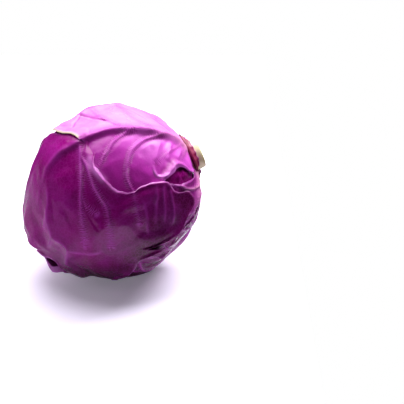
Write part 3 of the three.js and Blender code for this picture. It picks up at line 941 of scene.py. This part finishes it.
def venation_group():
    """Comb strokes beside the veins, painted shade between the strokes, and a net of fine veins between the
    veins.
    """
    name = "Leaf venation"
    if name in bpy.data.node_groups:
        return bpy.data.node_groups[name]
    tree = group_tree(name, {"Comb spacing": 1.6 * MM, "Net scale": 320.0}, ("Comb", "Gap shade", "Net"))
    nodes = Nodes(tree)
    given = nodes.add("NodeGroupInput")
    waver = nodes.product(nodes.noise(220.0), 2.4)
    strokes = nodes.math("DIVIDE", nodes.mask("along"), given.outputs["Comb spacing"])
    strokes = nodes.math("ADD", strokes, waver)
    strokes = nodes.math("SINE", nodes.product(strokes, 2 * math.pi))
    strokes = nodes.span(strokes, -0.2, 0.9, 0.0, 1.0)
    near = nodes.span(nodes.mask("away"), 0.8 * MM, 5.5 * MM, 1.0, 0.0)
    patches = nodes.span(nodes.noise(45.0), 0.35, 0.6, 0.45, 1.0)
    near = nodes.product(near, patches)
    comb = nodes.product(strokes, near)
    # Painted shade between the strokes
    gap_shade = nodes.math("SUBTRACT", near, comb)
    place = nodes.add("ShaderNodeTexCoord").outputs["Object"]
    bent = nodes.add("ShaderNodeTexNoise", {"Vector": place, "Scale": 90.0}).outputs["Color"]
    reach = (4 * MM, 4 * MM, 4 * MM)
    bent = nodes.add("ShaderNodeVectorMath", {0: bent, 1: reach}, operation="MULTIPLY").outputs[0]
    place = nodes.add("ShaderNodeVectorMath", {0: place, 1: bent}, operation="ADD").outputs[0]
    feeds = {"Vector": place, "Scale": given.outputs["Net scale"]}
    cells = nodes.add("ShaderNodeTexVoronoi", feeds, feature="DISTANCE_TO_EDGE").outputs["Distance"]
    net = nodes.span(cells, 0.0, 0.14, 1.0, 0.0)
    nodes.add("NodeGroupOutput", {"Comb": comb, "Gap shade": gap_shade, "Net": net})
    return tree


def bloom_group():
    """Pale waxy bloom in soft patches, and the mottling of the tissue under it."""
    name = "Waxy bloom"
    if name in bpy.data.node_groups:
        return bpy.data.node_groups[name]
    tree = group_tree(name, {"Patch scale": 28.0}, ("Bloom", "Mottle"))
    nodes = Nodes(tree)
    given = nodes.add("NodeGroupInput")
    patches = nodes.noise(given.outputs["Patch scale"], 4.0, 0.55)
    specks = nodes.noise(420.0, 3.0, 0.6)
    bloom = nodes.product(nodes.span(patches, 0.38, 0.68, 0.0, 1.0), nodes.span(specks, 0.3, 0.7, 0.5, 1.0))
    mottle = nodes.span(nodes.noise(60.0, 5.0, 0.6), 0.3, 0.7, 0.0, 1.0)
    nodes.add("NodeGroupOutput", {"Bloom": bloom, "Mottle": mottle})
    return tree


def new_material(name):
    """An empty material and its nodes."""
    material = bpy.data.materials.new(name)
    material.use_nodes = True
    return material, Nodes(material.node_tree)


def leaf_material(name, colours, deep, bright, bloom_share):
    """A glossy leaf with pale veins, a pale margin and waxy bloom, with painted light, highlights and shade
    laid into its colour.
    """
    material, nodes = new_material(name)
    veins = nodes.add("ShaderNodeGroup", node_tree=venation_group()).outputs
    wax = nodes.add("ShaderNodeGroup", node_tree=bloom_group()).outputs
    vein = nodes.mask("vein")
    colour = nodes.layered(nodes.mix(wax["Mottle"], (*deep, 1), (*bright, 1)), (
        # painted light on the wrapper leaf's lit upper part; paler tissue near the stem on other leaves
        (nodes.mask("pale"), 0.9, colours.pale),
        # painted light behind the midrib and painted highlights by the stem
        (nodes.mask("painted_light"), 0.85, colours.painted_light),
        (wax["Mottle"], 0.14, deep),
        # painted shade on patches of the leaves
        (nodes.mask("painted_shade"), 0.9, colours.inner),
        # painted shade in creases, dents and under lifted margins
        (nodes.mask("crease_shade"), 0.55, deep),
        # painted highlight along fold crests
        (nodes.mask("crest_highlight"), 0.35, colours.vein),
        (veins["Net"], 0.1, colours.vein),
        # painted shade between the comb strokes
        (veins["Gap shade"], 0.55, deep),
        (veins["Comb"], 0.55, colours.vein),
        (wax["Bloom"], bloom_share, colours.bloom),
        (vein, 0.6, colours.vein),
        (nodes.mask("foot"), vein, colours.foot),
        # pale margin, widened into a painted highlight where it lifts and along rolled edges
        (nodes.mask("edge"), 0.85, colours.edge),
        (nodes.mask("torn"), 1.0, colours.torn),
    ))
    roughness = nodes.math("ADD", nodes.product(wax["Bloom"], 0.10), 0.10)
    roughness = nodes.math("ADD", roughness, nodes.product(vein, 0.12))
    roughness = nodes.math("ADD", roughness, nodes.product(nodes.mask("pale"), 0.2))
    height = nodes.math("MULTIPLY_ADD", veins["Net"], 0.15, veins["Comb"])
    height = nodes.math("ADD", height, nodes.product(wax["Mottle"], 0.4))
    nodes.finish({
        "Base Color": colour,
        "Roughness": roughness,
        "Normal": nodes.bump(0.55, 0.5 * MM, height),
        "Specular IOR Level": 0.2,
        "Coat Weight": nodes.span(nodes.mask("pale"), 0.0, 0.6, 0.12, 0.0),
        "Coat Roughness": 0.06,
    })
    return material


def stem_material(colours):
    """Fibrous cream flesh, drier and browner at the cut."""
    material, nodes = new_material("Stem flesh")
    fibres = nodes.noise(260.0, 6.0, 0.7)
    stains = nodes.span(nodes.noise(70.0, 4.0, 0.6), 0.45, 0.75, 0.0, 1.0)
    across = nodes.math("MULTIPLY_ADD", nodes.noise(120.0), 0.12, nodes.mask("across"))
    ring = nodes.product(nodes.span(across, 0.62, 0.74, 0.0, 1.0), nodes.span(across, 0.78, 0.9, 1.0, 0.0))
    bark = nodes.span(across, 0.94, 1.06, 0.0, 1.0)
    dried = nodes.math("MULTIPLY_ADD", ring, 0.35, nodes.span(fibres, 0.35, 0.65, 0.45, 0.2))
    colour = nodes.layered(nodes.mix(fibres, (*colours.stem_shade, 1), (*colours.stem, 1)), (
        (stains, 0.35, colours.stem_stain),
        (dried, nodes.mask("cut"), colours.stem_stain),
        (bark, 0.2, colours.stem_stain),
    ))
    bump = nodes.bump(0.5, 0.5 * MM, fibres)
    roughness = nodes.span(fibres, 0.3, 0.7, 0.45, 0.65)
    nodes.finish({"Base Color": colour, "Roughness": roughness, "Normal": bump})
    return material


def stub_material(colours):
    """Dark skin of a trimmed leaf base, pale where it was cut."""
    material, nodes = new_material("Leaf stub")
    wax = nodes.add("ShaderNodeGroup", node_tree=bloom_group()).outputs
    colour = nodes.mix(wax["Mottle"], (*colours.stub, 1), (*colours.stub_dark, 1))
    colour = nodes.layered(colour, ((nodes.mask("edge"), 0.7, colours.edge),))
    bump = nodes.bump(0.4, 0.4 * MM, wax["Mottle"])
    roughness = nodes.span(wax["Mottle"], 0.0, 1.0, 0.35, 0.55)
    nodes.finish({"Base Color": colour, "Roughness": roughness, "Normal": bump})
    return material


def length_value(name, description, default):
    """A length that a user would change."""
    return bpy.props.FloatProperty(
        name=name, description=description, default=default, min=0, unit="LENGTH", precision=5
    )


def power_value(name, description, default):
    """A power that a user would change."""
    return bpy.props.FloatProperty(name=name, description=description, default=default, min=0, unit="POWER")


def colour_value(name, description, default):
    """A colour that a user would change."""
    return bpy.props.FloatVectorProperty(
        name=name, description=description, default=default, size=3, min=0, max=1, subtype="COLOR"
    )


class CabbageShape(bpy.types.PropertyGroup):
    """Sizes of the leaves' relief."""

    blade: length_value("Blade", "Thickness of a leaf blade", 0.9 * MM)
    fullness: length_value("Fullness", "How far the head swells past its packed form", 1.2 * MM)
    rib_height: length_value("Rib height", "Height of a midrib at its foot", 7.5 * MM)
    vein_height: length_value("Vein height", "Height of a side vein where it leaves the midrib", 1.0 * MM)
    crumple: length_value("Crumple", "Height of the broad dents in the head", 1.0 * MM)
    blister: length_value("Blister", "Height of the puckers between veins", 0.5 * MM)
    edge_width: length_value("Edge width", "Width of the pale margin", 1.0 * MM)


class CabbageColours(bpy.types.PropertyGroup):
    """Colours of the leaves and the stem."""

    tissue: colour_value("Tissue", "Bright leaf tissue", (0.265, 0.001, 0.175))
    tissue_deep: colour_value("Deep tissue", "Dark leaf tissue", (0.175, 0.0005, 0.10))
    # A dark tissue colour that paints shade: on the leaf deep in the hollow by the stem, on the under leaf,
    # and in the painted shade patches
    inner: colour_value("Shaded tissue", "Tissue of leaves that little light reached", (0.046, 0.0006, 0.02))
    # Paler tissue near the stem, and the painted light on the wrapper leaf's lit upper part
    pale: colour_value("Pale tissue", "Tissue beside the midrib", (0.74, 0.06, 0.68))
    # Painted light and highlights on the wrapper leaf, behind its midrib and by the stem
    painted_light: colour_value("Painted light", "Painted top light and highlights", (0.67, 0.20, 0.65))
    vein: colour_value("Vein", "Ribs and veins", (0.60, 0.07, 0.56))
    foot: colour_value("Rib foot", "Midribs at the stem", (0.74, 0.30, 0.52))
    # On the leaves also a painted highlight along lifted and rolled margins; on the stubs, their pale cut
    edge: colour_value("Edge", "Margins of the leaves", (0.82, 0.24, 0.80))
    torn: colour_value("Torn edge", "Flesh along a tear", (0.72, 0.62, 0.42))
    bloom: colour_value("Bloom", "Waxy bloom on the leaves", (0.30, 0.02, 0.27))
    stem: colour_value("Stem", "Flesh of the stem", (0.97, 0.95, 0.66))
    stem_shade: colour_value("Stem fibres", "Fibres in the stem", (0.92, 0.84, 0.46))
    stem_stain: colour_value("Stem stain", "Dried patches on the stem", (0.52, 0.34, 0.10))
    stub: colour_value("Stub", "Skin of the leaf stubs", (0.28, 0.014, 0.08))
    stub_dark: colour_value("Dark stub", "Darker skin of the leaf stubs", (0.12, 0.004, 0.03))


class CabbageStage(bpy.types.PropertyGroup):
    """Light and floor round the head."""

    # A lavender tint that shows only in the floor's shadow, painting purple into its shade
    floor: colour_value("Floor", "Colour of the floor", (0.87, 0.81, 0.98))
    key_power: power_value("Top light", "Power of the light above", 12)
    stem_power: power_value("Stem light", "Power of the light over the stem", 11)
    side_power: power_value("Side light", "Power of the light at the crown", 3.8)
    camera_distance: length_value("Camera distance", "Distance from the camera to its target", 1.0)


class CABBAGE_OT_heart(bpy.types.Operator):
    """Builds the tight heart under the loose leaves"""

    bl_idname = "cabbage.heart"
    bl_label = "Heart"

    def execute(self, context):
        """Makes a ball of packed leaves in the head's form."""
        scene = context.scene
        head = Head(scene.cabbage_shape)
        bm = bmesh.new()
        bmesh.ops.create_icosphere(bm, subdivisions=6, radius=1)
        ways = np.array([vert.co.normalized() for vert in bm.verts])
        sway = HEART_RIB_SWAY * np.sin(np.radians(lean_of(ways)))
        ribs = np.cos(np.radians(HEART_RIBS * off_rib(ways, 0) + sway))
        rumples, _, _ = head.folding(ridge_paths(HEART_FOLDS), ways)
        points = ways * (head.form(ways) - GAP + HEART_RIB_RISE * ribs + rumples)[:, None]
        lay_down(bm.verts, points)
        piece = linked_object("heart_ball", bm)
        vein = HEART_VEIN_SHARE * smooth(ribs, *HEART_VEIN_CRESTS)
        set_masks(piece, {"vein": vein, "along": np.zeros(len(ways)), "away": np.ones(len(ways))})
        colours = scene.cabbage_colours
        material = leaf_material("Heart leaf", colours, colours.tissue_deep, colours.tissue, 0.2)
        stand_for(piece, "heart", material)
        return {"FINISHED"}


class CABBAGE_OT_stem(bpy.types.Operator):
    """Builds the cut stem and its core"""

    bl_idname = "cabbage.stem"
    bl_label = "Stem"

    def execute(self, context):
        """Turns the stem's profile and roughens its skin and cut."""
        bm = bmesh.new()
        profile = (
            (0, STEM_END - CORE_DEPTH - 4 * MM),
            (CORE_TIP_RADIUS, STEM_END - CORE_DEPTH),
            (STEM_RADIUS, STEM_END - STEM_LENGTH),
            (STEM_RADIUS, STEM_END - 12 * MM),
            (STEM_RADIUS, STEM_END - 6 * MM),
            (STEM_RADIUS, STEM_END - 2 * MM),
            (STEM_RADIUS - 0.6 * MM, STEM_END - 0.6 * MM),
            (STEM_RADIUS - 2 * MM, STEM_END),
            (STEM_RADIUS - 6 * MM, STEM_END - 0.4 * MM),
            (STEM_RADIUS - 11 * MM, STEM_END - 0.8 * MM),
            (0, STEM_END - 0.8 * MM),
        )
        line = [bm.verts.new((radius, 0, height)) for radius, height in profile]
        edges = [bm.edges.new(pair) for pair in zip(line, line[1:])]
        bmesh.ops.spin(
            bm, geom=[*line, *edges], cent=(0, 0, 0), axis=(0, 0, 1), dvec=(0, 0, 0),
            angle=2 * math.pi, steps=96, use_merge=True, use_duplicate=False,
        )
        bmesh.ops.remove_doubles(bm, verts=bm.verts, dist=0.01 * MM)
        bmesh.ops.recalc_face_normals(bm, faces=bm.faces)
        for vert in bm.verts:
            grain = noise.noise(vert.co * STEM_GRAINS) * STEM_GRAIN
            away = Vector((vert.co.x, vert.co.y, 0))
            vert.co += away.normalized() * min(0, grain) if away.length > 1 * MM else Vector()
        upright = np.array([vert.co for vert in bm.verts])
        lay_down(bm.verts, upright)
        piece = linked_object("stem_core", bm)
        across = np.hypot(upright[:, 0], upright[:, 1]) / STEM_RADIUS
        cut = smooth(upright[:, 2], STEM_END - 2 * MM, STEM_END - 0.9 * MM)
        set_masks(piece, {"across": across, "cut": cut})
        stand_for(piece, "stem", stem_material(context.scene.cabbage_colours))
        return {"FINISHED"}


class CABBAGE_OT_stubs(bpy.types.Operator):
    """Builds the stubs of leaves trimmed off round the stem"""

    bl_idname = "cabbage.stubs"
    bl_label = "Leaf stubs"

    def execute(self, context):
        """Bends a thick strip round the stem for each stub."""
        material = stub_material(context.scene.cabbage_colours)
        for name, (middle, span) in STUBS.items():
            bm = bmesh.new()
            bmesh.ops.create_grid(bm, x_segments=48, y_segments=10, size=1)
            flat = np.array([vert.co for vert in bm.verts])
            angle = np.radians(middle + span / 2 * flat[:, 0])
            ragged = np.array([noise.noise(Vector((turn * STUB_TEETH, middle, 0))) for turn in angle])
            ends = np.sqrt(np.clip(1 - flat[:, 0] ** 4, 0, 1))
            up = (flat[:, 1] + 1) / 2
            height = STUB_FOOT + up * (STUB_HEIGHT * ends + STUB_RAGGED * ragged)
            radius = STEM_RADIUS + STUB_GAP + (1 - up) ** 2 * STUB_FLARE + STUB_WAVE * ragged
            points = np.stack([radius * np.cos(angle), radius * np.sin(angle), height], axis=1)
            lay_down(bm.verts, points)
            piece = linked_object(f"{name}_strip", bm)
            set_masks(piece, {"edge": smooth(up, *STUB_CUT)})
            thicken(piece, STUB_WALL)
            stand_for(piece, name, material)
        return {"FINISHED"}


class CABBAGE_OT_leaves(bpy.types.Operator):
    """Builds the loose leaves round the heart"""

    bl_idname = "cabbage.leaves"
    bl_label = "Leaves"

    def execute(self, context):
        """Wraps each leaf's blades on the head in the order that they lie in."""
        shape = context.scene.cabbage_shape
        colours = context.scene.cabbage_colours
        finishes = {
            # The leaf in the hollow and the under leaf take the shaded tissue colour as their deep tone:
            # painted shade where they lie in shadow
            "inner_leaf": ("inner_leaf", colours.inner, colours.tissue_deep, 0.0),
            "back_leaf": ("outer_leaf", colours.tissue_deep, colours.tissue, 0.5),
            "under_leaf": ("outer_leaf", colours.inner, colours.tissue_deep, 0.05),
            "rear_leaf": ("outer_leaf", colours.tissue_deep, colours.tissue, 0.6),
            "wrapper_leaf": ("outer_leaf", colours.tissue_deep, colours.tissue, 0.35),
        }
        head = Head(shape)
        for leaf, (slot, deep, bright, bloom_share) in finishes.items():
            piece = self.wrapped(head, leaf)
            thicken(piece, shape.blade)
            name = leaf.replace("_", " ").capitalize()
            stand_for(piece, leaf, leaf_material(name, colours, deep, bright, bloom_share))
        return {"FINISHED"}

    @staticmethod
    def wrapped(head, leaf):
        """A leaf's outer face, made of its blades."""
        bm = bmesh.new()
        found = []
        for blade in head.blades:
            if blade.leaf != leaf:
                continue
            before = len(bm.verts)
            bmesh.ops.create_grid(bm, x_segments=blade.cells, y_segments=blade.cells, size=1)
            bm.verts.ensure_lookup_table()
            verts = bm.verts[before:]
            points, masks = head.surface(blade, blade.directions(np.array([vert.co for vert in verts])))
            lay_down(verts, points)
            found.append(masks)
        piece = linked_object(f"{leaf}_blade", bm)
        set_masks(piece, {name: np.concatenate([masks[name] for masks in found]) for name in found[0]})
        return piece


class CABBAGE_OT_stage(bpy.types.Operator):
    """Builds the floor, the lights and the camera"""

    bl_idname = "cabbage.stage"
    bl_label = "Stage"

    def execute(self, context):
        """Sets up a white table with light from above and behind."""
        stage = context.scene.cabbage_stage
        self.add_floor(stage)
        self.add_world(context.scene)
        self.add_light("Top light", (-0.05, 0.22, 0.75), (0.0, 0.0, 0.05), 0.7, stage.key_power)
        self.add_light("Stem light", (0.50, 0.40, 0.72), (0.0, 0.0, 0.08), 0.42, stage.stem_power)
        side = self.add_light("Side light", (-0.9, 0.1, 0.4), (0.0, 0.0, 0.07), 1.0, stage.side_power)
        side.visible_glossy = False
        self.add_camera(context.scene, stage)
        context.scene.view_settings.view_transform = "Standard"
        return {"FINISHED"}

    @staticmethod
    def add_floor(stage):
        """A white table round the head that glows for the camera, a painted light that lifts its shadow near
        the head and turns it pure white away from the head, and that is dim in reflections at its sides, a
        painted shade in what the leaves reflect.
        """
        bm = bmesh.new()
        bmesh.ops.create_grid(bm, x_segments=1, y_segments=1, size=1)
        bmesh.ops.scale(bm, vec=(*FLOOR_HALF_SIZE, 1), verts=bm.verts)
        bmesh.ops.translate(bm, vec=(*FLOOR_MIDDLE, 0), verts=bm.verts)
        floor = linked_object("floor", bm)
        material, nodes = new_material("Floor")
        rays = nodes.add("ShaderNodeLightPath").outputs
        place = nodes.add("ShaderNodeTexCoord").outputs["Object"]
        along = nodes.add("ShaderNodeSeparateXYZ", {0: place}).outputs["X"]
        left = nodes.span(along, -0.14, -0.02, 0.8, 0.0)
        right = nodes.span(along, 0.06, 0.13, 0.0, 0.9)
        sides = nodes.math("ADD", left, right)
        # Dark in reflections at its sides: painted shade in what the leaves reflect
        dim = nodes.product(rays["Is Glossy Ray"], sides)
        distance = nodes.add("ShaderNodeVectorMath", {0: place}, operation="LENGTH").outputs["Value"]
        # Glows for the camera: painted light that lifts its shadow near the head and whitens it away from the
        # head
        glow = nodes.span(distance, *FLOOR_WHITENS, FLOOR_GLOW, 1.0)
        nodes.finish({
            "Base Color": nodes.mix(dim, (*stage.floor, 1), (0, 0, 0, 1)),
            "Roughness": 0.6,
            "Emission Color": (*stage.floor, 1),
            "Emission Strength": nodes.product(rays["Is Camera Ray"], glow),
        })
        floor.data.materials.append(material)

    @staticmethod
    def add_world(scene):
        """White for the camera, and for light a room that is bright behind and dark in front."""
        world = bpy.data.worlds.new("Studio")
        world.use_nodes = True
        nodes = Nodes(world.node_tree)
        way = nodes.add("ShaderNodeTexCoord").outputs["Generated"]
        parts = nodes.add("ShaderNodeSeparateXYZ", {0: way}).outputs
        behind = nodes.span(parts["Y"], 0.2, 0.9, 0.0, 1.0)
        middle = nodes.span(nodes.math("ABSOLUTE", parts["X"]), 0.15, 0.6, 1.0, 0.0)
        high = nodes.span(parts["Z"], 0.0, 0.4, 0.0, 1.0)
        wall = nodes.product(nodes.product(behind, middle), high)
        brightness = nodes.math("MULTIPLY_ADD", wall, 1.8, 0.02)
        room = nodes.add("ShaderNodeBackground", {"Color": (1, 1, 1, 1), "Strength": brightness})
        white = nodes.add("ShaderNodeBackground", {"Color": (1, 1, 1, 1), "Strength": 1.0})
        seen = nodes.add("ShaderNodeLightPath").outputs["Is Camera Ray"]
        shader = nodes.add("ShaderNodeMixShader", {0: seen, 1: room.outputs[0], 2: white.outputs[0]})
        nodes.add("ShaderNodeOutputWorld", {"Surface": shader.outputs[0]})
        scene.world = world

    @staticmethod
    def add_light(name, place, target, size, power):
        """A square soft light turned to its target."""
        light = bpy.data.lights.new(name, "AREA")
        light.size = size
        light.energy = power
        lamp = bpy.data.objects.new(name, light)
        lamp.location = place
        lamp.rotation_euler = (Vector(target) - Vector(place)).to_track_quat("-Z", "Y").to_euler()
        bpy.context.scene.collection.objects.link(lamp)
        return lamp

    @staticmethod
    def add_camera(scene, stage):
        """A camera that looks down on the front of the head."""
        elevation = math.radians(CAMERA_ELEVATION)
        ahead = Vector((0, math.cos(elevation), -math.sin(elevation)))
        above = Vector((0, math.sin(elevation), math.cos(elevation)))
        target = Vector((CAMERA_ASIDE, 0, REST_HEIGHT)) - CAMERA_DROP * above
        lens = bpy.data.cameras.new("Camera")
        lens.lens = CAMERA_LENS
        lens.sensor_width = CAMERA_SENSOR
        camera = bpy.data.objects.new("Camera", lens)
        camera.location = target - stage.camera_distance * ahead
        camera.rotation_euler = ahead.to_track_quat("-Z", "Y").to_euler()
        scene.collection.objects.link(camera)
        scene.camera = camera


class CABBAGE_PT_panel(bpy.types.Panel):
    """Lists the steps that build the head"""

    bl_idname = "CABBAGE_PT_panel"
    bl_label = "Red cabbage head"
    bl_space_type = "VIEW_3D"
    bl_region_type = "UI"
    bl_category = "Cabbage"

    def draw(self, context):
        """Draws a button for each step and the values under them."""
        for operator in OPERATORS:
            self.layout.operator(operator.bl_idname)
        for name in SETTINGS:
            box = self.layout.box()
            group = getattr(context.scene, name)
            for value in group.bl_rna.properties.keys():
                if value not in ("rna_type", "name"):
                    box.prop(group, value)


OPERATORS = (CABBAGE_OT_heart, CABBAGE_OT_stem, CABBAGE_OT_stubs, CABBAGE_OT_leaves, CABBAGE_OT_stage)
SETTINGS = {"cabbage_shape": CabbageShape, "cabbage_colours": CabbageColours, "cabbage_stage": CabbageStage}


def register():
    """Adds the classes and the scene's settings."""
    for name, group in SETTINGS.items():
        bpy.utils.register_class(group)
        setattr(bpy.types.Scene, name, bpy.props.PointerProperty(type=group))
    for kind in (*OPERATORS, CABBAGE_PT_panel):
        bpy.utils.register_class(kind)


def unregister():
    """Removes what register added."""
    for kind in (CABBAGE_PT_panel, *reversed(OPERATORS)):
        bpy.utils.unregister_class(kind)
    for name, group in SETTINGS.items():
        delattr(bpy.types.Scene, name)
        bpy.utils.unregister_class(group)


def main():
    """Builds the head piece by piece."""
    register()
    bpy.ops.cabbage.heart()
    bpy.ops.cabbage.stem()
    bpy.ops.cabbage.stubs()
    bpy.ops.cabbage.leaves()
    bpy.ops.cabbage.stage()
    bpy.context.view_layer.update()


if __name__ == "__main__":
    main()
